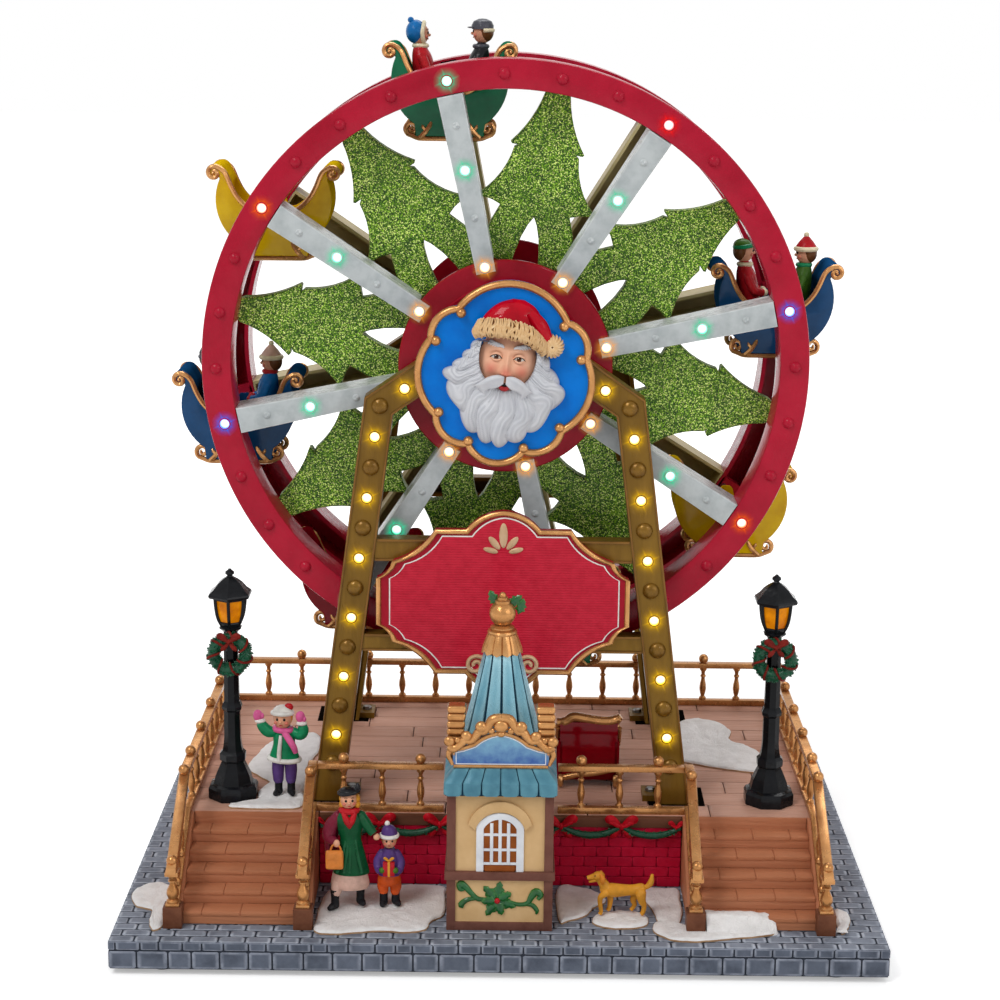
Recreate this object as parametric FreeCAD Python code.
import FreeCAD
import Part
import math
import os
from FreeCAD import Vector

# Musical table-top ferris wheel. Millimetres. X points right, Y points back, Z points up.
# The origin lies under the middle of the base, on the surface that the rubber feet stand on.

# Base
base_wide = 350.0
base_deep = 250.0
base_high = 13.4
shell_wall = 4.0
shell_top = 2.0
ledge_wide = 2.0
cover_thick = 2.0
cover_gap = 0.2
foot_radius = 7.5
foot_high = 3.0
foot_in_x = 23.0
foot_in_y = 13.0
shell_bottom = foot_high
base_top = shell_bottom + base_high
cover_top = shell_bottom + cover_thick

# Raised deck, its stairs and the brick front
deck_wide = 302.0
deck_front = -54.0
deck_back = 118.0
deck_high = 34.9
deck_plate = 5.0
deck_wall = 3.0
fascia_deep = 3.0
brick_thick = 2.5
stair_steps = 6
stair_run = 51.5
stringer_wide = 6.0
stair_wide = 53.0
deck_top = base_top + deck_high
deck_side = deck_wide / 2
stair_outer = deck_side - stringer_wide
stair_inner = stair_outer - stair_wide
stringer_in = stair_inner - stringer_wide
front_half = stringer_in - 0.3

# Gold railings
rail_over = 24.0
rail_thick = 2.8
rail_wide = 4.6
foot_rail_high = 3.2
foot_rail_wide = 3.6
rail_inset = 3.0
baluster_gap = 18.2
baluster_radius = 1.9
ball_radius = 2.6
baluster_sides = 4
ball_sides = 4
slope_start = 9.0
newel_past = 1.5
newel_size = 8.6
newel_high = 10.1
post_foot = 1.4
gate_gap = 3.0

# Lamps
lamp_in = 22.0
lamp_back = 21.0
lamp_base_radius = 12.4
lamp_post_radius = 3.8
lantern_bottom = 84.7
lantern_high = 15.0
lantern_radius = 8.6
roof_radius = 11.2
roof_high = 10.0
lantern_foot = 6.4
wreath_over = 73.0
wreath_ring = 8.7
wreath_tube = 2.8

# Wheel
axle_over = 209.1
ring_inner = 127.8
ring_high = 13.7
ring_outer = ring_inner + ring_high
ring_deep = 20.0
ring_wall = 2.0
wheel_deep = 92.0
wheel_front = -25.0
wheel_turn = -12.0
spoke_count = 8
ring_sides = 40
hub_sides = 32
sleeve_sides = 12
pin_sides = 10
spoke_hub_half = 4.5
spoke_ring_half = 6.0
spoke_wall = 1.5
spoke_lap = 5.0
hub_radius = 50.0
hub_thick = 4.0
hub_sleeve = 9.0
shaft_radius = 4.0
running_gap = 0.05
tree_thick = 8.0
tree_grow = (ring_inner + 3.2) / 131.0
bulb_radius = 2.3
bulb_high = 1.6
ring_bulb_at = ring_inner + 6.2
mid_bulb_at = 93.0
hub_bulb_at = 47.8
axle_high = deck_top + axle_over
wheel_back = wheel_front + wheel_deep

# Sleighs
pivot_at = ring_inner + 3.7
sleigh_wide = 28.0
sleigh_wall = 2.4
pin_radius = 1.5
pin_hold = 7.0
lug_half = 4.5
lug_deep = 9.0
runner_thick = 2.4
runner_in = 2.0

# A-shaped frames in front of the wheel and behind it
frame_gap = 4.0
frame_deep = 10.0
frame_skin = 2.0
foot_flare = 22.0
flare_high = 66.0
leg_foot_x = 83.2
leg_lean = 0.1297
leg_wide = 14.0
knee_over = 193.2
arm_rise = 0.689
bar_low = 75.5
bar_low_high = 8.4
bar_top = 119.5
bar_top_high = 10.6
boss_radius = 33.0
boss_thick = 6.0
bush_radius = 7.0
foot_tab = 8.0
foot_tab_high = 3.0
bolt_radius = 2.4
bolt_high = 1.6
frame_bulb_step = 29.0
frame_bulb_rows = 6
rear_gap = 25.0
frame_face = wheel_front - frame_gap - frame_deep
rear_face = wheel_back + rear_gap + frame_deep

# Sign
sign_over = 101.2
sign_half = 59.3
sign_shoulder = 35.0
sign_lobe = 9.0
sign_thick = 5.0
sign_rim_wide = 2.2
sign_rim_high = 1.2

# Medallion
medal_over = 209.7
medal_tilt = 7.0
medal_thick = 7.0
medal_rim_wide = 3.0
medal_rim_high = 2.6
beard_high = 9.0

# Ticket booth
booth_half = 24.0
booth_front = -109.0
booth_deep = 42.0
booth_wall_top = 65.6
panel_in = 4.0
panel_deep = 1.0
belt_low = 24.6
belt_high = 4.0
window_half = 10.0
window_low = 30.6
window_high = 27.6
awning_over = 1.5
awning_lip = 3.0
awning_high = 6.6
spire_radius = 19.5
spire_high = 50.0
spire_top_radius = 8.4
finial_radius = 6.6

# Slide switches
switch_gap = 36.0
switch_travel = 5.0
knob_half = 2.5
knob_rise = 1.6
knob_gap = 0.4
pocket_half = 9.0
pocket_rise = 3.6
pocket_deep = 2.5
switch_deep = 7.0
switch_wall = 1.2
switch_z = (shell_bottom + base_top) / 2 + 0.6
slot_half = knob_half + switch_travel / 2 + knob_gap
slot_rise = knob_rise + knob_gap

# Bottom cover, battery box, speaker and circuit board
door_from_side = 113.0
door_from_back = 91.0
door_wide = 66.0
door_deep = 60.0
door_middle = (door_from_side - base_wide / 2, base_deep / 2 - door_from_back)
door_gap = 0.25
door_lip = 3.0
speaker_middle = (base_wide / 2 - door_from_side, base_deep / 2 - door_from_back)
speaker_radius = 20.0
speaker_slots = 5
slot_wide = 2.0
screw_radius = 3.0
screw_high = 1.2
board_middle = (0.0, -10.0)
board_wide = 60.0
board_deep = 34.0
board_thick = 1.6
board_posts = 5.0
box_wall = 1.5
box_high = 17.0

# Slope and levels of the rails
rail_slope = deck_high / stair_run
rail_top = deck_top + rail_over
rail_under = rail_top - rail_thick
foot_rail_top = deck_top + foot_rail_high

# Garland
swag_count = 6
swag_thick = 4.0
swag_drop = 7.0
bow_wide = 8.0
bow_high = 5.0

# Gear motor
motor_wide = 34.0
motor_high = 46.0
motor_deep = 16.0
motor_can = 7.0
motor_gap = 0.5
motor_over = 14.0
can_high = 22.0

# Sleigh outline, measured from its pivot
gunwale_low = -3.5
ear_high = 3.4
scroll_top = 18.7
sleigh_half = 30.8
seat_level = -11.0
keel_half = 16.0
keel_low = -25.0
runner_low = -27.0
runner_half = 21.0

# Heights of the left and right rider's headwear, and how far out the heads are
riders_on = {1: (31.4, 30.4), 2: (30.6, 31.2), 6: (30.2, 30.8)}
head_out = 14.6

# Sleigh on the deck
dock_x = 42.5
dock_y = -6.0
dock_wide = 34.0
dock_long = 26.0
dock_high = 39.0
dock_drop = 8.0

# Booth levels
booth_back = booth_front + booth_deep
booth_top = base_top + booth_wall_top
awning_low = booth_top
awning_top = awning_low + awning_lip + awning_high

# Snow
snow_thick = 2.0
snow_grow_x = base_wide / 350.0
snow_grow_y = base_deep / 250.0


def block(x0, x1, y0, y1, z0, z1):
    return Part.makeBox(x1 - x0, y1 - y0, z1 - z0, Vector(x0, y0, z0))


def face_of(points):
    return Part.Face(Part.makePolygon(points + points[:1]))


def front_prism(outline, y0, y1):
    points = [Vector(x, y0, z) for x, z in outline]
    return face_of(points).extrude(Vector(0, y1 - y0, 0))


def side_prism(outline, x0, x1):
    points = [Vector(x0, y, z) for y, z in outline]
    return face_of(points).extrude(Vector(x1 - x0, 0, 0))


def plan_prism(outline, z0, z1):
    points = [Vector(x, y, z0) for x, y in outline]
    return face_of(points).extrude(Vector(0, 0, z1 - z0))


def rod(x, y0, y1, z, radius):
    return Part.makeCylinder(radius, y1 - y0, Vector(x, y0, z), Vector(0, 1, 0))


def flat_faces(a, b, c, d):
    if abs((b - a).cross(d - a).dot(c - a)) < 1e-6:
        return [face_of([a, b, c, d])]
    return [face_of([a, b, c]), face_of([a, c, d])]


def solid_from(faces):
    solid = Part.makeSolid(Part.makeShell(faces))
    if solid.Volume < 0:
        solid.reverse()
    return solid


# Solid with flat faces through outlines that have the same number of points
def loft(sections, closed=False):
    faces = [] if closed else [face_of(sections[0]), face_of(sections[-1])]
    following = sections[1:] + (sections[:1] if closed else [])
    for lower, upper in zip(sections, following):
        for step in range(len(lower)):
            after = (step + 1) % len(lower)
            faces += flat_faces(lower[step], lower[after], upper[after], upper[step])
    return solid_from(faces)


def ring_points(middle, across, upward, radius, sides, turn=0.0):
    points = []
    for step in range(sides):
        angle = math.radians(turn + 360.0 * step / sides)
        points.append(middle + across * (radius * math.cos(angle)) + upward * (radius * math.sin(angle)))
    return points


# Many-sided bar along Y at a height
def bar(y0, y1, z, radius, sides, turn=0.0):
    points = ring_points(Vector(0, y0, z), Vector(1, 0, 0), Vector(0, 0, 1), radius, sides, turn)
    return face_of(points).extrude(Vector(0, y1 - y0, 0))


def disc(y0, y1, radius, sides, turn):
    return bar(y0, y1, axle_high, radius, sides, turn)


# Turned piece on an upright axis, from pairs of height and radius
def turned(profile, sides, x=0.0, y=0.0, turn=0.0, squash=1.0):
    across = Vector(1, 0, 0)
    depth = Vector(0, squash, 0)
    return loft([ring_points(Vector(x, y, z), across, depth, r, sides, turn) for z, r in profile])


# Domed stud on a face that looks to the front
def stud(x, y, z, radius, high, sides=4):
    across = Vector(1, 0, 0)
    upward = Vector(0, 0, 1)
    foot = ring_points(Vector(x, y, z), across, upward, radius, sides)
    crown = ring_points(Vector(x, y - high, z), across, upward, radius * 0.6, sides)
    return loft([foot, crown])


# Tapered bar between two points
def limb(start, end, radius0, radius1, sides=5):
    along = (end - start).normalize()
    helper = Vector(0, 1, 0) if abs(along.y) < 0.9 else Vector(1, 0, 0)
    across = along.cross(helper).normalize()
    upward = along.cross(across).normalize()
    first = ring_points(start, across, upward, radius0, sides)
    last = ring_points(end, across, upward, radius1, sides)
    return loft([first, last])


# Points on the circle through three points, from after the first to the last
def bow(start, via, end, steps):
    ax, az = start
    bx, bz = via
    cx, cz = end
    double = 2 * (ax * (bz - cz) + bx * (cz - az) + cx * (az - bz))
    sa = ax * ax + az * az
    sb = bx * bx + bz * bz
    sc = cx * cx + cz * cz
    mx = (sa * (bz - cz) + sb * (cz - az) + sc * (az - bz)) / double
    mz = (sa * (cx - bx) + sb * (ax - cx) + sc * (bx - ax)) / double
    radius = math.hypot(ax - mx, az - mz)
    first = math.atan2(az - mz, ax - mx)
    middle = (math.atan2(bz - mz, bx - mx) - first) % (2 * math.pi)
    last = (math.atan2(cz - mz, cx - mx) - first) % (2 * math.pi)
    if middle > last:
        last -= 2 * math.pi
    points = []
    for step in range(1, steps + 1):
        angle = first + last * step / steps
        points.append((mx + radius * math.cos(angle), mz + radius * math.sin(angle)))
    return points


# Right half of an outline, from top to bottom, closed by its mirror image
def mirrored(outline):
    left = [(-x, z) for x, z in reversed(outline) if abs(x) > 1e-6]
    return outline + left


def mirror_x(shape):
    return shape.mirror(Vector(0, 0, 0), Vector(1, 0, 0))


def both_sides(shape):
    return [shape, mirror_x(shape)]


def joined(shapes):
    return shapes[0].fuse(shapes[1:]).removeSplitter()


def turned_wheel(shape, angle):
    turned_shape = shape.copy()
    turned_shape.rotate(Vector(0, 0, axle_high), Vector(0, 1, 0), angle)
    return turned_shape


# Place on the wheel, clockwise from the top as seen from the front
def rim_point(angle, radius):
    turn = math.radians(angle)
    return radius * math.sin(turn), axle_high + radius * math.cos(turn)


def save(name, shapes):
    shape = shapes[0] if len(shapes) == 1 else Part.makeCompound(shapes)
    shape.exportStep("parts/" + name + ".step")


# Base shell, open from below, with a hole in its top under the deck
def base_shell():
    half_x = base_wide / 2
    half_y = base_deep / 2
    shell = block(-half_x, half_x, -half_y, half_y, shell_bottom, base_top)
    in_x = half_x - shell_wall
    in_y = half_y - shell_wall
    shell = shell.cut(block(-in_x, in_x, -in_y, in_y, shell_bottom, cover_top))
    ledge_x = in_x - ledge_wide
    ledge_y = in_y - ledge_wide
    shell = shell.cut(block(-ledge_x, ledge_x, -ledge_y, ledge_y, cover_top, base_top - shell_top))
    well_x = deck_side - deck_wall - 4.0
    well_front = deck_front + deck_wall + 4.0
    well_back = min(deck_back - deck_wall - 4.0, ledge_y - 4.0)
    shell = shell.cut(block(-well_x, well_x, well_front, well_back, cover_top, base_top))
    for middle in switch_middles():
        pocket = block(middle - pocket_half, middle + pocket_half, half_y - pocket_deep, half_y,
                       switch_z - pocket_rise, switch_z + pocket_rise)
        slot = block(middle - slot_half, middle + slot_half, in_y - ledge_wide - 1.0, half_y,
                     switch_z - slot_rise, switch_z + slot_rise)
        shell = shell.cut(pocket).cut(slot)
    save("base_shell", [shell])


# Slide switches at the back of the base
def switch_middles():
    return [switch_gap / 2, -switch_gap / 2]


def switches():
    wall_in = base_deep / 2 - shell_wall - ledge_wide
    housings = []
    for middle in switch_middles():
        half = slot_half + switch_wall
        rise = slot_rise + switch_wall
        housing = block(middle - half, middle + half, wall_in - switch_deep, wall_in,
                        switch_z - rise, switch_z + rise)
        hollow = block(middle - slot_half, middle + slot_half, wall_in - switch_deep + switch_wall, wall_in,
                       switch_z - slot_rise, switch_z + slot_rise)
        housings.append(housing.cut(hollow))
    save("switch_bodies", housings)
    for name, middle in zip(["power_switch", "music_switch"], switch_middles()):
        start = middle - switch_travel / 2
        knob = block(start - knob_half, start + knob_half, wall_in - switch_deep + switch_wall + knob_gap,
                     base_deep / 2 - 0.5, switch_z - knob_rise, switch_z + knob_rise)
        save(name, [knob])


# Bottom cover with speaker slots and a screwed battery door
def bottom():
    half_x = base_wide / 2 - shell_wall - cover_gap
    half_y = base_deep / 2 - shell_wall - cover_gap
    cover = block(-half_x, half_x, -half_y, half_y, shell_bottom, cover_top)
    door_x, door_y = door_middle
    hole_x = door_wide / 2 - door_lip
    hole_y = door_deep / 2 - door_lip
    cover = cover.cut(block(door_x - hole_x, door_x + hole_x, door_y - hole_y, door_y + hole_y,
                            shell_bottom, cover_top))
    seat_x = door_wide / 2 + door_gap
    seat_y = door_deep / 2 + door_gap
    seat_z = shell_bottom + cover_thick / 2
    cover = cover.cut(block(door_x - seat_x, door_x + seat_x, door_y - seat_y, door_y + seat_y,
                            shell_bottom, seat_z))
    speaker_x, speaker_y = speaker_middle
    for step in range(speaker_slots):
        offset = (step - (speaker_slots - 1) / 2) * 2.2 * slot_wide
        reach = math.sqrt((speaker_radius - 3.0) ** 2 - offset ** 2)
        cover = cover.cut(block(speaker_x - reach, speaker_x + reach, speaker_y + offset - slot_wide / 2,
                                speaker_y + offset + slot_wide / 2, shell_bottom, cover_top))
    posts = []
    board_x, board_y = board_middle
    for side in (-1, 1):
        for end in (-1, 1):
            x = board_x + side * (board_wide / 2 - 3.0)
            y = board_y + end * (board_deep / 2 - 3.0)
            posts.append(block(x - 2.0, x + 2.0, y - 2.0, y + 2.0, cover_top, cover_top + board_posts))
    save("bottom_cover", [joined([cover] + posts)])
    board_z = cover_top + board_posts
    board = block(board_x - board_wide / 2, board_x + board_wide / 2, board_y - board_deep / 2,
                  board_y + board_deep / 2, board_z, board_z + board_thick)
    save("circuit_board", [board])
    door = block(door_x - door_wide / 2, door_x + door_wide / 2,
                 door_y - door_deep / 2, door_y + door_deep / 2, shell_bottom, seat_z)
    save("battery_door", [door])
    box = block(door_x - hole_x - box_wall, door_x + hole_x + box_wall, door_y - hole_y - box_wall,
                door_y + hole_y + box_wall, cover_top, cover_top + box_high)
    box = box.cut(block(door_x - hole_x, door_x + hole_x, door_y - hole_y, door_y + hole_y,
                        cover_top, cover_top + box_high - box_wall))
    save("battery_box", [box])
    cone = turned([(cover_top, speaker_radius), (cover_top + 2.5, speaker_radius),
                   (cover_top + 9.0, speaker_radius * 0.55), (cover_top + 14.0, speaker_radius * 0.55)],
                  12, speaker_x, speaker_y)
    save("speaker", [cone])
    feet = []
    for side in (-1, 1):
        for end in (-1, 1):
            x = side * (base_wide / 2 - foot_in_x)
            y = end * (base_deep / 2 - foot_in_y)
            feet.append(turned([(0.0, foot_radius - 0.8), (foot_high, foot_radius)], 12, x, y))
    save("rubber_feet", feet)
    screws = [turned([(shell_bottom - screw_high, screw_radius), (shell_bottom, screw_radius)], 6,
                     door_x, door_y - door_deep / 2 + 5.0)]
    for side in (-1, 1):
        for end in (-1, 1):
            x = side * (base_wide / 2 - foot_in_x - 3.0 * foot_radius)
            y = end * (base_deep / 2 - foot_in_y)
            screws.append(turned([(shell_bottom - screw_high, screw_radius), (shell_bottom, screw_radius)],
                                 6, x, y))
    save("case_screws", screws)


def deck():
    front = deck_front
    shell = block(-deck_side, deck_side, front, deck_back, base_top, deck_top)
    hollow = block(-deck_side + deck_wall, deck_side - deck_wall, front + deck_wall, deck_back - deck_wall,
                   base_top, deck_top - deck_plate)
    fascia = block(-front_half, front_half, front - fascia_deep, front, deck_top - deck_plate, deck_top)
    save("deck", [joined([shell.cut(hollow), fascia])])
    brick = block(-front_half, front_half, front - brick_thick, front, base_top, deck_top - deck_plate)
    save("front_wall", [brick])


# Stairs with a closed stringer board on both sides
def stairs():
    rise = deck_high / stair_steps
    tread = stair_run / (stair_steps - 1)
    profile = [(deck_front, base_top), (deck_front, deck_top - rise)]
    for step in range(1, stair_steps):
        y = deck_front - tread * step
        profile.append((y, deck_top - rise * step))
        profile.append((y, deck_top - rise * (step + 1)))
    steps = side_prism(profile, stair_inner, stair_outer)
    newel_front = newel_y() + newel_size / 2
    low = deck_top - rail_slope * (deck_front - slope_drop() - newel_front)
    board = [(deck_front, base_top), (deck_front, deck_top), (deck_front - slope_drop(), deck_top),
             (newel_front, low), (newel_front, base_top)]
    outer = side_prism(board, stair_outer, deck_side)
    inner = side_prism(board, stringer_in, stair_inner)
    flight = joined([steps, outer, inner])
    for post in newel_posts():
        flight = flight.cut(post)
    save("stairs", both_sides(flight))


# Square blocks at the foot of the stair rails, on the right side
def newel_posts():
    half = newel_size / 2
    middles = (deck_side - rail_inset, (stair_inner + stringer_in) / 2)
    return [block(x - half, x + half, newel_y() - half, newel_y() + half, base_top, base_top + newel_high)
            for x in middles]


def slope_drop():
    return slope_start / 2


def newel_y():
    return deck_front - stair_run - newel_past


# Railings: a flat top board, a foot rail and turned balusters, with a ball over every second one
def baluster(x, y, bottom, top):
    span = top - bottom
    profile = [(bottom, 0.7), (bottom + 0.32 * span, 1.1), (top, 0.62)]
    return turned([(z, share * baluster_radius) for z, share in profile], baluster_sides, x, y)


def ball(x, y, bottom, radius=ball_radius):
    profile = [(bottom, radius * 0.55), (bottom + radius, radius), (bottom + 2 * radius, radius * 0.5)]
    return turned(profile, ball_sides, x, y)


# Height of a rail at a place on the stairs, where it slopes down to the newel post
def rail_height(y, level):
    return level - rail_slope * max(0.0, deck_front - slope_start - y)


def stair_rail(x, end_y, balusters_at, balls_at):
    bend = deck_front - slope_start
    foot_bend = deck_front - slope_drop()
    last = newel_y()
    drop = rail_slope * (bend - last)
    top_profile = [(end_y, rail_top), (bend, rail_top), (last - newel_size / 2, rail_top - drop),
                   (last - newel_size / 2, rail_under - drop), (last + newel_size / 2, rail_under - drop),
                   (bend, rail_under), (end_y, rail_under)]
    stop = last + newel_size / 2
    low = rail_slope * (foot_bend - stop)
    foot_profile = [(end_y, foot_rail_top), (foot_bend, foot_rail_top), (stop, foot_rail_top - low),
                    (stop, deck_top - low), (foot_bend, deck_top), (end_y, deck_top)]
    pieces = [side_prism(top_profile, x - rail_wide / 2, x + rail_wide / 2)]
    pieces.append(side_prism(foot_profile, x - foot_rail_wide / 2, x + foot_rail_wide / 2))
    for y in balusters_at:
        foot = foot_rail_top - rail_slope * max(0.0, foot_bend - y) - 0.5
        pieces.append(baluster(x, y, foot, rail_height(y, rail_under) + 0.5))
    for y in balls_at:
        pieces.append(ball(x, y, rail_height(y, rail_top) - 0.6))
    block_top = base_top + newel_high
    cap = rail_under - drop
    plinth = [(block_top, 3.2), (block_top + post_foot, 3.2), (cap - 3.0, 1.6), (cap, 2.6)]
    pieces.append(turned(plinth, 6, x, last))
    pieces.append(ball(x, last, rail_top - drop - 0.3))
    return pieces


def railings():
    back_y = deck_back - rail_inset - foot_rail_wide / 2
    side_x = deck_side - rail_inset
    half = side_x - rail_wide / 2
    pieces = [block(-half, half, back_y - rail_wide / 2, back_y + rail_wide / 2, rail_under, rail_top)]
    pieces.append(block(-half, half, back_y - foot_rail_wide / 2, back_y + foot_rail_wide / 2,
                        deck_top, foot_rail_top))
    count = int(half / baluster_gap)
    for step in range(-count, count + 1):
        if abs(step * baluster_gap) > half - baluster_radius:
            continue
        pieces.append(baluster(step * baluster_gap, back_y, foot_rail_top - 0.5, rail_under + 0.5))
        if step % 2 == 0:
            pieces.append(ball(step * baluster_gap, back_y, rail_top - 0.3))
    back = joined(pieces)

    end_y = back_y + rail_wide / 2
    places = []
    y = back_y - 10.0
    while y > deck_front - slope_start + baluster_gap / 2:
        places.append(y)
        y -= baluster_gap
    slope_places = [newel_y() + 14.0, newel_y() + 27.0]
    side_balls = places[0::2] + [deck_front - slope_start - 2.0]
    side = joined(stair_rail(side_x, end_y, places + slope_places, side_balls))
    save("side_railings", both_sides(side))

    inner_x = (stair_inner + stringer_in) / 2
    front_y = deck_front + rail_inset
    inner_end = front_y + rail_wide / 2
    inner = stair_rail(inner_x, inner_end, slope_places, [deck_front - slope_start - 2.0])
    save("inner_railings", both_sides(joined(inner)))

    gate = booth_half + gate_gap
    front = [block(gate, inner_x - rail_wide / 2, front_y - rail_wide / 2, front_y + rail_wide / 2,
                   rail_under, rail_top)]
    front.append(block(gate, inner_x - foot_rail_wide / 2, front_y - foot_rail_wide / 2,
                       front_y + foot_rail_wide / 2, deck_top, foot_rail_top))
    step = 0
    x = inner_x - 14.6
    while x > gate:
        front.append(baluster(x, front_y, foot_rail_top - 0.5, rail_under + 0.5))
        if step % 2 == 0:
            front.append(ball(x, front_y, rail_top - 0.3))
        step += 1
        x -= baluster_gap
    save("cross_railings", [back] + both_sides(joined(front)))

    save("newel_blocks", newel_posts() + [mirror_x(post) for post in newel_posts()])


# Green swags on the brick front, tied up with bows: one moulded strip
def garland():
    span = 2 * front_half / swag_count
    wall = deck_front - fascia_deep
    level = deck_top - deck_plate / 2 - 1.5
    upper = []
    lower = []
    for swag in range(swag_count):
        start = -front_half + span * swag
        left = start + bow_wide / 2
        right = start + span - bow_wide / 2
        middle = (left + right) / 2
        upper += [(left - bow_wide / 2, level + 1.0), (left, level + bow_high / 2)]
        upper += bow((left, level + 1.0), (middle, level + 1.0 - swag_drop), (right, level + 1.0), 4)[:3]
        upper += [(right, level + bow_high / 2)]
        lower += [(left - bow_wide / 2, level - 1.0), (left, level - bow_high / 2 - 0.5)]
        lower += bow((left, level - 3.0), (middle, level - 3.0 - swag_drop), (right, level - 3.0), 4)[:3]
        lower += [(right, level - bow_high / 2 - 0.5)]
    upper.append((front_half, level + 1.0))
    lower.append((front_half, level - 1.0))
    save("garland", [front_prism(upper + lower[::-1], wall - swag_thick, wall)])


def lamps():
    x = deck_side - lamp_in
    y = deck_front + lamp_back
    floor = deck_top + lantern_bottom
    top = floor + lantern_high
    profile = [(0.0, lamp_base_radius), (7.5, lamp_base_radius), (18.5, 5.4), (24.0, 6.4),
               (30.0, lamp_post_radius + 0.3), (45.0, lamp_post_radius + 1.2), (47.0, lamp_post_radius),
               (lantern_bottom - 1.5, lamp_post_radius - 0.3), (lantern_bottom, lantern_foot),
               (lantern_bottom + 2.0, 6.9)]
    post = turned([(deck_top + z, r) for z, r in profile], 8, x, y, 22.5)
    bars = []
    for step in range(6):
        angle = math.radians(30.0 + 60.0 * step)
        outward = Vector(math.cos(angle), math.sin(angle), 0)
        bars.append(limb(Vector(x, y, floor + 1.0) + outward * (lantern_foot - 0.6),
                         Vector(x, y, top + 0.5) + outward * (lantern_radius - 1.0), 1.1, 1.1, 4))
    glass = turned([(floor + 2.0, lantern_foot - 1.4), (top, lantern_radius - 2.0)], 6, x, y, 30.0)
    glass = glass.cut(Part.makeCompound(bars))
    peak = top + roof_high
    roof = turned([(top, roof_radius - 0.8), (top + 1.5, roof_radius), (peak - 2.5, 4.2), (peak, 1.6),
                   (peak + 1.8, 2.2), (peak + 3.6, 0.6)], 6, x, y, 30.0)
    save("lamp_posts", both_sides(joined([post, roof] + bars)))
    save("lamp_panes", both_sides(glass))

    wreath_z = deck_top + wreath_over
    wreath_y = y - (lamp_post_radius - 0.2) * math.cos(math.pi / 8) - wreath_tube * math.cos(math.pi / 6)
    sections = []
    for step in range(10):
        angle = 2 * math.pi * step / 10
        outward = Vector(math.cos(angle), 0, math.sin(angle))
        middle = Vector(x, wreath_y, wreath_z) + outward * wreath_ring
        sections.append(ring_points(middle, outward, Vector(0, 1, 0), wreath_tube, 6))
    save("wreaths", both_sides(loft(sections, closed=True)))


# A-frame lines: the leg's middle leans in to a knee, and an arm rises from there to the middle
def frame_lines(half):
    knee_x = leg_foot_x - leg_lean * knee_over
    knee_z = deck_top + knee_over
    leg = math.hypot(1.0, leg_lean)
    arm = math.hypot(1.0, arm_rise)
    leg_x = 1.0 / leg
    leg_z = leg_lean / leg
    arm_x = arm_rise / arm
    arm_z = 1.0 / arm
    share = half / (1.0 + leg_x * arm_x + leg_z * arm_z)
    corner = (knee_x + share * (leg_x + arm_x), knee_z + share * (leg_z + arm_z))
    foot = (leg_foot_x + half * leg, deck_top)
    apex = (0.0, knee_z + knee_x * arm_rise + half * arm)
    return foot, corner, apex


# Face outline of the frame, and the outline of the trough behind its face
def frame_shape():
    half = leg_wide / 2
    outline = []
    trough = []
    for outline_half, points in ((half, outline), (half - frame_skin, trough)):
        foot, corner, apex = frame_lines(outline_half)
        points += [apex, corner, foot]
        foot, corner, apex = frame_lines(-outline_half)
        points += [foot, corner, apex]
    return outline, trough


# The front frame
def frame_solid():
    outline, trough = frame_shape()
    half_outlines = []
    back = frame_face + frame_deep
    side = [(frame_face, deck_top), (frame_face + foot_flare, deck_top), (back, deck_top + flare_high),
            (back, deck_top + 2 * axle_over), (frame_face, deck_top + 2 * axle_over)]
    profile = side_prism(side, -base_wide, base_wide)
    leg = front_prism(outline, frame_face, frame_face + foot_flare).common(profile)
    low = [(x, z - (1.0 if z < deck_top + 1.0 else 0.0)) for x, z in trough]
    leg = leg.cut(front_prism(low, frame_face + frame_skin, frame_face + foot_flare + 1.0))
    half_outlines += both_sides(leg)
    pieces = half_outlines
    for low_z, high in ((bar_low, bar_low_high), (bar_top, bar_top_high)):
        z0 = deck_top + low_z
        reach = leg_foot_x - leg_lean * (low_z + high) - leg_wide / 2 + frame_skin / 2
        bar = block(-reach, reach, frame_face, frame_face + frame_deep - 2.0, z0, z0 + high)
        bar = bar.cut(block(-reach + 3.0, reach - 3.0, frame_face + frame_skin, frame_face + frame_deep,
                            z0 + frame_skin, z0 + high - frame_skin))
        pieces.append(bar)
    pieces.append(disc(frame_face, frame_face + boss_thick, boss_radius, 24, 0.0))
    inner_foot = leg_foot_x - leg_wide / 2
    tab = block(inner_foot - foot_tab, inner_foot + 1.0, frame_face + 4.0, frame_face + foot_flare - 4.0,
                deck_top, deck_top + foot_tab_high)
    pieces += both_sides(tab)
    frame = joined(pieces)
    return frame.cut(disc(frame_face, frame_face + boss_thick, bush_radius, 12, 0.0))


# Places of the bulbs on the front frame's right side: one on the arm, the rest down the leg
def frame_bulbs():
    knee_x = leg_foot_x - leg_lean * knee_over
    knee_z = deck_top + knee_over
    arm = math.hypot(1.0, arm_rise)
    reach = frame_bulb_step / 2 / arm
    bulbs = [(knee_x - reach, knee_z + reach * arm_rise)]
    for step in range(frame_bulb_rows):
        down = frame_bulb_step * (step + 0.5)
        bulbs.append((knee_x + leg_lean * down, knee_z - down))
    return bulbs


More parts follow.
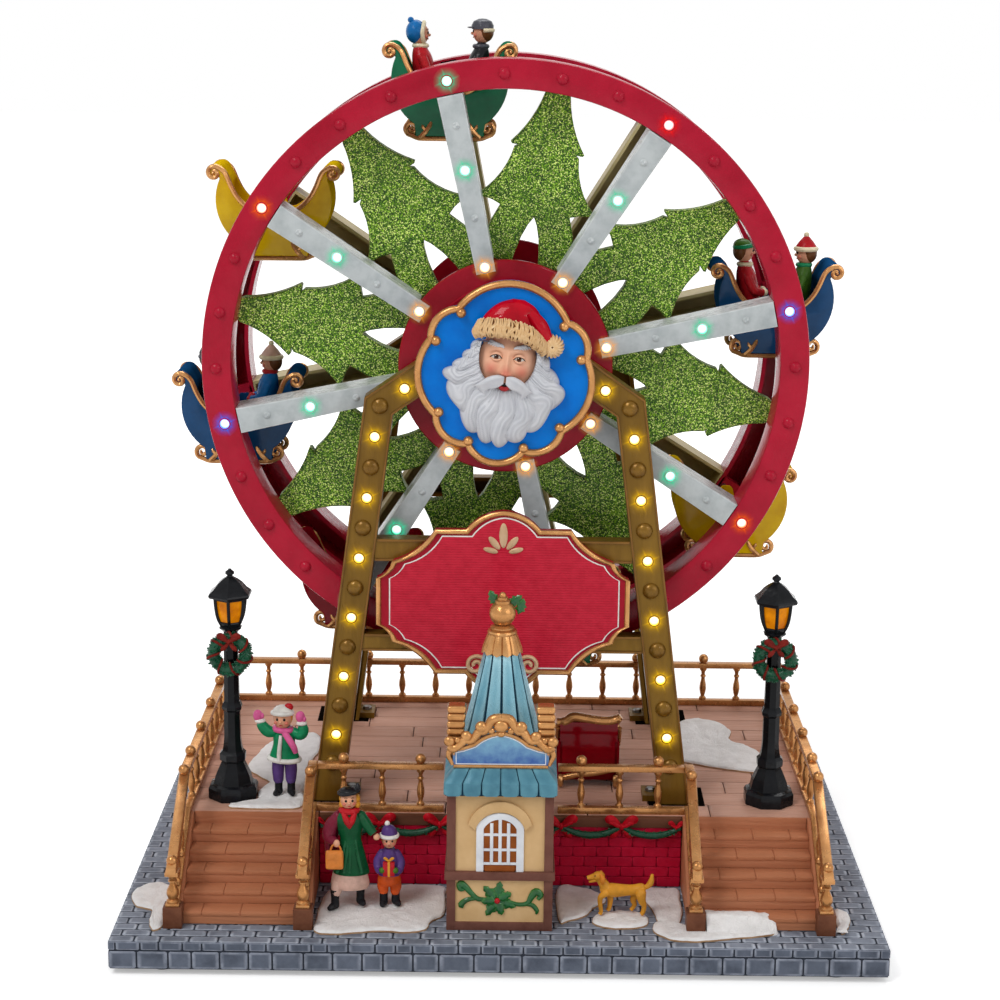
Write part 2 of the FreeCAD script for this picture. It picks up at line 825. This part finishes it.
def frames():
    frame = frame_solid()
    middle = frame_face + (rear_face - frame_face) / 2
    rear = frame.mirror(Vector(0, middle, 0), Vector(0, 1, 0))
    save("a_frame_rear", [rear])
    save("a_frame_front", [frame])
    lights = []
    for x, z in frame_bulbs():
        lights += both_sides(stud(x, frame_face, z, bulb_radius, bulb_high))
    save("frame_lamps", lights)
    bolts = []
    tab_x = leg_foot_x - leg_wide / 2 - foot_tab / 2
    for y in (frame_face + foot_flare / 2, rear_face - foot_flare / 2):
        bolts += both_sides(turned([(deck_top + foot_tab_high, bolt_radius),
                                    (deck_top + foot_tab_high + bolt_high, bolt_radius)], 6, tab_x, y))
    save("foot_bolts", bolts)
    bushes = []
    for y0 in (frame_face, rear_face - boss_thick):
        bush = disc(y0, y0 + boss_thick, bush_radius, 12, 0.0)
        bushes.append(bush.cut(rod(0.0, y0, y0 + boss_thick, axle_high, shaft_radius + running_gap)))
    save("shaft_bushes", bushes)


# Gear motor on the rear frame; the shaft runs through it with clearance
def gear_motor():
    back = rear_face - frame_deep
    case_low = axle_high + motor_over - motor_high
    case = block(-motor_wide / 2, motor_wide / 2, back - motor_deep, back, case_low, axle_high + motor_over)
    hole = disc(back - motor_deep, back, shaft_radius + motor_gap, sleeve_sides, 0.0)
    can = turned([(case_low - can_high, motor_can), (case_low + 1.0, motor_can)],
                 10, 0.0, back - motor_deep / 2)
    save("gear_motor", [joined([case.cut(hole), can])])


# Wheel rings: channels that face each other, with lugs inside for the sleigh pins
def sleigh_angles():
    return [wheel_turn + 45.0 * step for step in range(spoke_count) if step != 1]


# A many-sided ring with a flat at each spoke, so that the spoke ends seat on it
def ring_disc(y0, y1, radius):
    return disc(y0, y1, radius, ring_sides, 90.0 - wheel_turn + 180.0 / ring_sides)


def channel_ring(y0):
    y1 = y0 + ring_deep
    ring = ring_disc(y0, y1, ring_outer).cut(ring_disc(y0, y1, ring_inner))
    trough = ring_disc(y0 + ring_wall, y1, ring_outer - ring_wall)
    return ring.cut(trough.cut(ring_disc(y0 + ring_wall, y1, ring_inner + ring_wall)))


# Lug with a many-sided bore whose flats clear the turning pin
def pin_lug(y0, y1, angle):
    low = axle_high + ring_inner + ring_wall / 2
    high = axle_high + ring_outer - ring_wall / 2
    lug = block(-lug_half, lug_half, y0, y1, low, high)
    corner = (pin_radius + running_gap) / math.cos(math.pi / pin_sides)
    bore = bar(y0, y1, axle_high + pivot_at, corner, pin_sides)
    return turned_wheel(lug.cut(bore), angle)


def rings():
    lug_end = wheel_front + ring_deep
    lugs = [pin_lug(lug_end - lug_deep, lug_end, angle) for angle in sleigh_angles()]
    front = joined([channel_ring(wheel_front)] + lugs)
    save("front_ring", [front])
    rear = front.mirror(Vector(0, (wheel_front + wheel_back) / 2, 0), Vector(0, 1, 0))
    save("rear_ring", [rear])


def front_spoke():
    z0 = axle_high
    start = hub_radius - spoke_lap
    end = ring_inner * math.cos(math.pi / ring_sides)
    outline = [(-spoke_hub_half, z0 + start), (-spoke_ring_half, z0 + end),
               (spoke_ring_half, z0 + end), (spoke_hub_half, z0 + start)]
    hub_in = spoke_hub_half - spoke_wall
    ring_in = spoke_ring_half - spoke_wall
    inner = [(-hub_in, z0 + start - 1.0), (-ring_in, z0 + end + 1.0), (ring_in, z0 + end + 1.0),
             (hub_in, z0 + start - 1.0)]
    spoke = front_prism(outline, wheel_front, wheel_front + ring_deep)
    spoke = spoke.cut(front_prism(inner, wheel_front + ring_wall, wheel_front + ring_deep + 1.0))
    behind = block(-ring_inner, ring_inner, wheel_front + ring_wall, wheel_front + ring_deep,
                   z0, z0 + hub_radius)
    return spoke.cut(behind)


def spokes():
    front = front_spoke()
    rear = front.mirror(Vector(0, (wheel_front + wheel_back) / 2, 0), Vector(0, 1, 0))
    angles = [wheel_turn + 360.0 / spoke_count * step for step in range(spoke_count)]
    save("front_spokes", [turned_wheel(front, angle) for angle in angles])
    save("rear_spokes", [turned_wheel(rear, angle) for angle in angles])


def hubs():
    front_y = wheel_front + ring_wall
    rear_y = wheel_back - ring_wall
    bore = rod(0.0, front_y, rear_y, axle_high, shaft_radius)
    save("front_hub", [disc(front_y, front_y + hub_thick, hub_radius, hub_sides, 0.0).cut(bore)])
    save("rear_hub", [disc(rear_y - hub_thick, rear_y, hub_radius, hub_sides, 0.0).cut(bore)])
    shaft = rod(0.0, frame_face + 0.5, rear_face - 0.5, axle_high, shaft_radius)
    sleeve = disc(front_y + hub_thick, rear_y - hub_thick, hub_sleeve, sleeve_sides, 0.0)
    save("drive_shaft", [joined([shaft, sleeve])])


# Flat cut-out trees between the spokes, right behind the front ring
def tree_outline():
    barb = (17.4, 101.5)
    low_barb = (27.0, 75.5)
    points = [(3.0, 131.0), (5.9, 126.7)]
    points += bow((5.9, 126.7), (10.2, 113.2), barb, 2)
    points += [(13.4, 100.8), (15.3, 99.4)]
    points += bow((15.3, 99.4), (19.3, 86.0), low_barb, 2)
    points += [(16.5, 72.0), (20.8, 57.0), (18.3, 46.8), (9.8, 49.3), (7.6, 59.0), (0.0, 70.0)]
    return points


def trees():
    half = [(tree_grow * x, axle_high + tree_grow * r) for x, r in tree_outline()]
    back = wheel_front + ring_deep
    tree = front_prism(mirrored(half), back, back + tree_thick)
    angles = [wheel_turn + 22.5 + 45.0 * step for step in range(spoke_count)]
    save("trees", [turned_wheel(tree, angle) for angle in angles])


def wheel_lamps():
    lights = []
    for step in range(spoke_count):
        for radius in (ring_bulb_at, mid_bulb_at, hub_bulb_at):
            x, z = rim_point(wheel_turn + 45.0 * step, radius)
            lights.append(stud(x, wheel_front, z, bulb_radius, bulb_high))
    save("wheel_lamps", lights)


# Top edge of a side, from the ear that carries the pin out to the foot of the end scroll
def gunwale():
    points = [(2.0, ear_high), (4.5, gunwale_low), (8.0, gunwale_low + 0.4)]
    points += bow((8.0, gunwale_low + 0.4), (15.0, 2.0), (19.5, 9.0), 2)
    points += [(23.0, 15.8)]
    return points


# The end scroll, over its top and round to its curled lip
def scroll_outer():
    return bow((23.0, 15.8), (27.2, scroll_top), (sleigh_half, 14.6), 3) + [(28.4, 12.2)]


# Outside of the end, from under the scroll down to the keel
def hull():
    points = [(25.4, 11.5)]
    points += bow((25.4, 11.5), (27.0, -3.0), (16.6, -19.0), 3)
    points += [(keel_half, keel_low)]
    return points


def sleigh_body():
    outline = mirrored(gunwale() + scroll_outer() + hull())
    half = sleigh_wide / 2
    body = front_prism(outline, -half, half)
    inside = [(0.0, 26.0), (19.4, 26.0), (20.6, 9.0), (22.6, -1.0), (17.0, seat_level), (0.0, seat_level)]
    cavity = front_prism(mirrored(inside), -half + sleigh_wall, half - sleigh_wall)
    return body.cut(cavity)


def sleigh_runners():
    curl = runner_half - 4.0
    outline = [(curl - 6.0, runner_low + 2.0), (curl - 9.0, runner_low + 9.0), (curl - 3.6, runner_low + 4.0)]
    outline += bow(outline[-1], (curl + 3.0, runner_low + 7.0), (curl + 1.8, runner_low), 3)
    shape = mirrored(outline)
    half = sleigh_wide / 2
    pieces = []
    for start in (-half + runner_in - runner_thick / 2, half - runner_in - runner_thick / 2):
        pieces.append(front_prism(shape, start, start + runner_thick))
    return pieces


# Seated rider, leaning back: coat, head and headwear
def rider(side, hood):
    across = Vector(1, 0, 0)
    levels = ((seat_level, 11.0, 5.2, 1.15), (0.0, 12.2, 5.4, 1.2),
              (12.5, 13.6, 4.5, 1.3), (17.0, 14.4, 2.4, 1.0))
    sections = []
    for z, out, radius, squash in levels:
        sections.append(ring_points(Vector(side * out, 0, z), across, Vector(0, squash, 0), radius, 6))
    head = turned([(16.0, 2.6), (20.0, 4.3), (26.5, 4.7), (hood, 1.8)], 6, side * head_out, 0.0)
    return joined([loft(sections), head])


def sleighs():
    half = sleigh_wide / 2
    middle_y = (wheel_front + wheel_back) / 2
    reach = wheel_deep / 2 - ring_deep + pin_hold
    pins = [bar(-reach, -half, 0.0, pin_radius, pin_sides), bar(half, reach, 0.0, pin_radius, pin_sides)]
    shell = joined([sleigh_body()] + sleigh_runners() + pins)
    for number, angle in enumerate(sleigh_angles(), start=1):
        x, z = rim_point(angle, pivot_at)
        pieces = [shell.copy()]
        if number in riders_on:
            for side, hood in zip((-1, 1), riders_on[number]):
                pieces.append(rider(side, hood))
        for piece in pieces:
            piece.translate(Vector(x, middle_y, z))
        save("sleigh_" + str(number), pieces)


# The eighth sleigh stands on the deck, seen end on
def deck_sleigh():
    front = dock_y - dock_long / 2
    back = dock_y + dock_long / 2
    z0 = deck_top
    top = z0 + dock_high
    far_top = top - dock_drop
    outline = [(front + 5.0, z0 + 3.0), (back - 5.0, z0 + 3.0)]
    outline += bow((back - 5.0, z0 + 3.0), (back, z0 + 14.0), (back - 3.0, far_top - 3.0), 4)
    outline += [(back - 5.5, far_top - 1.0), (back - 6.5, far_top - 6.0), (back - 6.0, z0 + 20.0),
                (front + 6.0, z0 + 20.0), (front + 6.5, top - 6.0), (front + 5.5, top - 1.0)]
    outline += bow((front + 5.5, top - 1.0), (front + 1.0, top), (front - 0.5, top - 4.5), 3)
    outline += bow((front - 0.5, top - 4.5), (front + 0.5, z0 + 16.0), (front + 5.0, z0 + 3.0), 4)[:-1]
    half = dock_wide / 2 - 2.0
    shell = side_prism(outline, dock_x - half, dock_x + half)
    seat = block(dock_x - half + 2.2, dock_x + half - 2.2, front + 6.2, back - 6.2, z0 + 12.0, z0 + 30.0)
    runners = []
    for side in (-1, 1):
        x = dock_x + side * (half - 2.0)
        runners.append(block(x - 1.2, x + 1.2, front + 1.0, back - 1.0, z0, z0 + 2.0))
        runners.append(block(x - 1.2, x + 1.2, front + 6.0, front + 8.0, z0 + 1.0, z0 + 4.0))
        runners.append(block(x - 1.2, x + 1.2, back - 8.0, back - 6.0, z0 + 1.0, z0 + 4.0))
    save("deck_sleigh", [joined([shell.cut(seat)] + runners)])


# Sign: a shouldered board with round lobes above and below
def sign_points(inset):
    shoulder = sign_shoulder - inset
    side = sign_half - inset
    lobe_half = 17.4 - inset * 0.6
    points = bow((-lobe_half, shoulder), (0.0, shoulder + sign_lobe), (lobe_half, shoulder), 6)[2:]
    points += [(31.7 - inset * 0.4, shoulder)]
    points += bow(points[-1], (41.5 - inset * 0.7, 24.5 - inset * 0.7), (51.8 - inset, 19.5 - inset * 0.4), 3)
    points += bow(points[-1], (54.3 - inset, 14.6), (side, 11.2), 2)
    lower = [(x, -z) for x, z in reversed(points)]
    return points + lower


def sign():
    z0 = deck_top + sign_over
    outline = mirrored(sign_points(0.0))
    board = front_prism([(x, z0 + z) for x, z in outline], frame_face - sign_thick, frame_face)
    field = mirrored(sign_points(sign_rim_wide))
    rim_front = frame_face - sign_thick - sign_rim_high
    rim = front_prism([(x, z0 + z) for x, z in outline], rim_front, frame_face - sign_thick)
    rim = rim.cut(front_prism([(x, z0 + z) for x, z in field], rim_front, frame_face - sign_thick))
    save("sign_board", [joined([board, rim])])


# Medallion: eight uneven lobes with a ball at each cusp, leaning a little to the right
def medal_cusps(inset):
    scale = 1.0 - inset / 40.0
    return [(26.0 * scale, 28.5 * scale), (37.3 * scale, 12.6 * scale), (30.4 * scale, -23.4 * scale),
            (13.4 * scale, -35.7 * scale)]


def medal_outline(inset):
    c1, c2, c3, c4 = medal_cusps(inset)
    out = 1.0 - inset / 43.0
    points = bow((-c1[0], c1[1]), (0.0, 43.6 * out), c1, 6)[2:]
    points += bow(c1, (34.9 * out, 22.9 * out), c2, 3)
    points += bow(c2, (41.3 * out, -5.0 * out), c3, 4)
    points += bow(c3, (24.6 * out, -33.3 * out), c4, 3)
    points += bow(c4, (0.0, -43.2 * out), (-c4[0], c4[1]), 4)[:2]
    return points


def tilted(shape):
    middle = Vector(0, 0, deck_top + medal_over)
    shape.rotate(middle, Vector(0, 1, 0), medal_tilt)
    return shape


def medallion():
    z0 = deck_top + medal_over
    face = frame_face - medal_thick
    outline = [(x, z0 + z) for x, z in mirrored(medal_outline(0.0))]
    plate = front_prism(outline, face, frame_face)
    save("medallion_plate", [tilted(plate)])
    field = [(x, z0 + z) for x, z in mirrored(medal_outline(medal_rim_wide))]
    rim = front_prism(outline, face - medal_rim_high, face)
    rim = rim.cut(front_prism(field, face - medal_rim_high, face))
    save("medallion_rim", [tilted(rim)])

    beard = [(-14.5, 14.0), (-19.0, 8.0), (-27.0, 4.0), (-28.6, -4.0), (-25.5, -13.0), (-20.5, -22.0),
             (-12.0, -29.5), (-1.0, -34.0), (10.0, -29.5), (18.5, -22.5), (21.5, -14.0), (27.5, -6.0),
             (24.0, 4.5), (16.0, 9.5), (13.5, 13.5)]
    middle = (-1.0, -8.0)
    low = [Vector(x, face, z0 + z) for x, z in beard]
    high = []
    for x, z in beard:
        near_x = middle[0] + (x - middle[0]) * 0.62
        near_z = z0 + middle[1] + (z - middle[1]) * 0.72
        high.append(Vector(near_x, face - beard_high, near_z))
    pieces = [loft([low, high])]
    pieces.append(front_bulge(-1.2, z0 + 6.0, 12.5, 12.0, face, 10.5, 8))
    band = [(-16.0, 24.0), (-9.0, 27.0), (5.0, 26.5), (15.0, 20.5), (13.5, 12.5), (7.0, 15.5),
            (-5.0, 17.5), (-15.0, 14.5)]
    pieces.append(front_prism([(x, z0 + z) for x, z in band], face - 9.5, face))
    cap = [(-13.5, 25.0), (-9.5, 31.5), (1.0, 35.3), (9.0, 33.0), (14.0, 26.5), (15.0, 20.0), (0.0, 22.0)]
    pieces.append(front_prism([(x, z0 + z) for x, z in cap], face - 6.5, face))
    pieces.append(front_bulge(19.0, z0 + 16.5, 5.6, 5.6, face, 7.0, 8))
    save("medallion_head", [joined(pieces)])


# Rounded lump on a face that looks to the front
def front_bulge(x, z, half_x, half_z, y, high, sides):
    sections = []
    for depth, share in ((0.0, 1.0), (0.55, 0.86), (1.0, 0.4)):
        middle = Vector(x, y - high * depth, z)
        across = Vector(half_x * share, 0, 0)
        sections.append(ring_points(middle, across, Vector(0, 0, half_z * share), 1.0, sides))
    return loft(sections)


# Ticket booth with a hipped awning, a crest and a fluted spire
def arch_outline(half, low, high, steps):
    spring = low + high - half * 0.62
    curve = bow((-half, spring), (0.0, low + high), (half, spring), steps)
    return [(-half, low), (-half, spring)] + curve + [(half, low)]


def booth():
    core = block(-booth_half, booth_half, booth_front, booth_back, base_top, booth_top)
    inner = booth_half - panel_in
    low_top = base_top + belt_low
    high_low = low_top + belt_high
    for z0, z1 in ((base_top + 4.0, low_top), (high_low, booth_top)):
        core = core.cut(block(-inner, inner, booth_front, booth_front + panel_deep, z0, z1))
        for side in both_sides(block(booth_half - panel_deep, booth_half, booth_front + panel_in,
                                     booth_back - panel_in, z0, z1)):
            core = core.cut(side)
    belt = block(-booth_half - 1.0, booth_half + 1.0, booth_front - 1.0, booth_back + 1.0, low_top, high_low)
    hood = arch_outline(window_half + 4.0, base_top + window_low + window_high - 8.0, 11.0, 6)
    hood_cut = arch_outline(window_half + 1.5, base_top + window_low + window_high - 9.0, 9.6, 6)
    brow = front_prism(hood, booth_front - 0.2, booth_front + panel_deep)
    brow = brow.cut(front_prism(hood_cut, booth_front - 1.0, booth_front + panel_deep))
    save("booth_body", [joined([core, belt, brow])])

    face = booth_front + panel_deep
    frame_outline = arch_outline(window_half, base_top + window_low - 2.0, window_high, 6)
    frame = front_prism(frame_outline, face - 1.0, face)
    pane_wide = 3.6
    pane_gap = 4.8
    for column in range(4):
        x = (column - 1.5) * pane_gap
        for row in range(3):
            z = base_top + window_low + 3.0 + row * 7.0
            high = 5.6 if row < 2 or column in (1, 2) else 4.0
            frame = frame.cut(block(x - pane_wide / 2, x + pane_wide / 2, face - 1.0, face, z, z + high))
    save("booth_window", [frame])

    x0 = booth_half + awning_over
    y0 = booth_front - awning_over - 2.0
    y1 = booth_back + awning_over
    lean = 3.6
    sections = []
    for z, inset in ((awning_low, 0.0), (awning_low + awning_lip, 0.0), (awning_top, lean)):
        sections.append([Vector(-x0 + inset, y0 + inset, z), Vector(x0 - inset, y0 + inset, z),
                         Vector(x0 - inset, y1 - inset, z), Vector(-x0 + inset, y1 - inset, z)])
    save("booth_awning", [loft(sections)])

    plaque_back = y0 + lean + 3.5
    plaque = [(-21.6, awning_top), (-21.6, awning_top + 8.0), (-12.0, awning_top + 11.0)]
    plaque += bow((-12.0, awning_top + 11.0), (0.0, awning_top + 16.5), (12.0, awning_top + 11.0), 4)
    plaque += [(21.6, awning_top + 8.0), (21.6, awning_top)]
    crest = [(-24.0, 9.0), (-21.0, 13.0), (-13.0, 16.0), (-8.0, 21.0)]
    crest += bow((-8.0, 21.0), (0.0, 26.0), (8.0, 21.0), 4)
    crest += [(13.0, 16.0), (21.0, 13.0), (24.0, 9.0), (21.6, 7.0), (12.0, 9.5), (0.0, 15.0),
              (-12.0, 9.5), (-21.6, 7.0)]
    crest = [(x, awning_top + z) for x, z in crest]
    pieces = [front_prism(plaque, plaque_back - 2.5, plaque_back)]
    pieces.append(front_prism(crest, plaque_back - 3.5, plaque_back))
    for level in (0, 1, 2):
        z = awning_top + 8.0 + 4.4 * level
        narrow = 0.8 * level
        pieces += both_sides(block(17.0 + narrow, 25.0 - narrow, plaque_back - 1.0, plaque_back + 7.0,
                                   z, z + 4.4))
    pieces += both_sides(block(18.5, 23.5, plaque_back - 1.0, plaque_back + 6.0,
                               awning_top, awning_top + 8.5))
    spire_y = plaque_back + 0.4 + spire_radius * 1.0
    spire_top = awning_top + spire_high
    flutes = 12
    sections = []
    for z, radius in ((awning_top, spire_radius), (awning_top + 8.0, spire_radius * 0.97),
                      (awning_top + 22.0, spire_radius * 0.74), (spire_top, spire_top_radius)):
        points = []
        for step in range(2 * flutes):
            angle = math.pi * step / flutes
            reach = radius if step % 2 == 0 else radius * 0.93
            points.append(Vector(reach * math.sin(angle), spire_y - reach * math.cos(angle), z))
        sections.append(points)
    spire = loft(sections)
    save("booth_crest", [joined(pieces)])
    save("booth_spire", [spire])
    ball_z = spire_top + 19.0
    profile = [(spire_top, spire_top_radius + 0.8), (spire_top + 7.5, spire_top_radius - 3.0),
               (spire_top + 9.5, spire_top_radius - 2.0), (ball_z - finial_radius, 3.6),
               (ball_z - 2.4, finial_radius), (ball_z + 2.4, finial_radius),
               (ball_z + finial_radius - 0.6, 3.0), (ball_z + finial_radius + 2.4, 1.0)]
    finial = turned(profile, 8, 0.0, spire_y)
    leaf = [(2.5, ball_z + 4.5), (5.0, ball_z + 5.0), (9.0, ball_z + 10.5), (5.5, ball_z + 9.0)]
    leaves = both_sides(front_prism(leaf, spire_y - 0.8, spire_y + 0.8))
    save("booth_finial", [joined([finial] + leaves)])


# Outline of a patch, which grows with the base
def grown(patch):
    return [(x * snow_grow_x, y * snow_grow_y) for x, y in patch]


# Snow lies in flat patches: places on the base and on the deck
def snow():
    base_patches = [
        [(-173.0, -71.0), (-164.0, -60.0), (-154.0, -70.0), (-156.0, -92.0), (-168.0, -88.0)],
        [(156.0, -81.0), (163.0, -88.0), (161.0, -102.0), (154.0, -111.0), (153.5, -96.0)],
        [(70.0, -113.0), (88.0, -121.0), (124.0, -112.0), (126.0, -108.0), (96.0, -107.0), (82.0, -98.0),
         (72.0, -100.0)],
        [(-81.0, -112.0), (-52.0, -117.0), (-28.0, -108.0), (-26.0, -84.0), (-40.0, -68.0), (-70.0, -68.0),
         (-82.0, -84.0)],
        [(27.0, -60.0), (47.0, -66.0), (74.0, -80.0), (72.0, -104.0), (50.0, -108.0), (28.0, -98.0)],
    ]
    deck_patches = [
        [(94.0, -5.0), (89.0, 31.0), (107.0, 95.0), (129.0, 80.0), (134.0, 48.0), (126.0, 3.0)],
        [(-95.0, 58.0), (-122.0, 40.0), (-134.0, 0.0), (-112.0, -16.0), (-112.0, -47.0), (-95.0, -49.0),
         (-94.0, 4.0)],
    ]
    pieces = []
    keep_clear = []
    for post in newel_posts():
        keep_clear += both_sides(post)
    keep_clear += both_sides(block(stringer_in, deck_side, deck_front - stair_run, deck_front,
                                   base_top, deck_top))
    for patch in base_patches:
        piece = plan_prism(grown(patch), base_top, base_top + snow_thick)
        for solid in keep_clear:
            piece = piece.cut(solid)
        pieces += piece.Solids
    pieces += [plan_prism(grown(patch), deck_top, deck_top + snow_thick) for patch in deck_patches]
    save("snow_patches", pieces)


# Small painted figures
def figures():
    x, y, z = -104.0, -36.0, deck_top + snow_thick
    pieces = [turned([(z, 2.6), (z + 6.0, 2.2), (z + 15.0, 2.6)], 6, x - 2.6, y),
              turned([(z, 2.6), (z + 6.0, 2.2), (z + 15.0, 2.6)], 6, x + 2.6, y),
              turned([(z + 14.0, 7.0), (z + 24.0, 5.6), (z + 33.0, 4.6), (z + 35.0, 3.0)],
                     6, x, y, 0.0, 0.75),
              turned([(z + 33.0, 3.0), (z + 37.0, 5.4), (z + 43.0, 5.6), (z + 48.0, 2.6)], 8, x, y),
              limb(Vector(x - 4, y, z + 31), Vector(x - 12, y - 1, z + 38), 2.4, 2.8),
              limb(Vector(x + 4, y, z + 31), Vector(x + 12, y - 1, z + 37), 2.4, 2.8)]
    save("figure_girl", [joined(pieces)])
    x, y, z = -69.0, -88.0, base_top + snow_thick
    pieces = [turned([(z, 7.5), (z + 16.0, 8.2), (z + 32.0, 5.6), (z + 44.0, 6.6), (z + 48.0, 3.2)],
                     6, x, y, 0.0, 0.8),
              turned([(z + 46.0, 3.0), (z + 50.0, 4.8), (z + 55.0, 4.8), (z + 59.0, 2.4)], 8, x, y),
              turned([(z + 55.5, 6.4), (z + 57.0, 6.4), (z + 61.0, 3.6)], 8, x, y),
              limb(Vector(x - 6, y, z + 43), Vector(x - 9.5, y - 3, z + 29), 2.6, 2.4),
              limb(Vector(x + 6, y, z + 43), Vector(x + 13.0, y - 3, z + 33), 2.6, 2.0)]
    save("figure_woman", [joined(pieces)])
    x, y, z = -51.0, -86.0, base_top + snow_thick
    pieces = [turned([(z, 5.0), (z + 12.0, 5.6), (z + 20.0, 4.0), (z + 27.0, 4.6), (z + 30.0, 2.6)],
                     6, x, y, 0.0, 0.8),
              turned([(z + 28.0, 2.6), (z + 32.0, 4.4), (z + 37.0, 4.4), (z + 41.5, 2.0)], 8, x, y),
              limb(Vector(x - 4, y, z + 26), Vector(x - 3, y - 5.5, z + 20), 2.0, 1.8),
              limb(Vector(x + 4, y, z + 26), Vector(x + 3, y - 5.5, z + 20), 2.0, 1.8)]
    save("figure_child", [joined(pieces)])
    x, y, z = 56.0, -93.0, base_top + snow_thick
    pieces = [limb(Vector(x - 6, y, z + 11), Vector(x + 8, y, z + 10.5), 3.8, 3.4),
              limb(Vector(x - 5, y, z + 12), Vector(x - 10, y, z + 18), 2.8, 2.6),
              limb(Vector(x - 8, y, z + 18), Vector(x - 15, y, z + 16.5), 3.2, 1.6),
              limb(Vector(x + 8, y, z + 12), Vector(x + 14, y, z + 17), 1.2, 0.8)]
    for leg_x in (x - 4.5, x + 6.5):
        for leg_y in (y - 2.0, y + 2.0):
            pieces.append(limb(Vector(leg_x, leg_y, z), Vector(leg_x, leg_y, z + 9), 1.3, 1.6))
    save("figure_dog", [joined(pieces)])


os.makedirs("parts", exist_ok=True)
base_shell()
switches()
bottom()
deck()
stairs()
railings()
garland()
lamps()
frames()
gear_motor()
rings()
spokes()
hubs()
trees()
wheel_lamps()
sleighs()
deck_sleigh()
sign()
medallion()
booth()
snow()
figures()
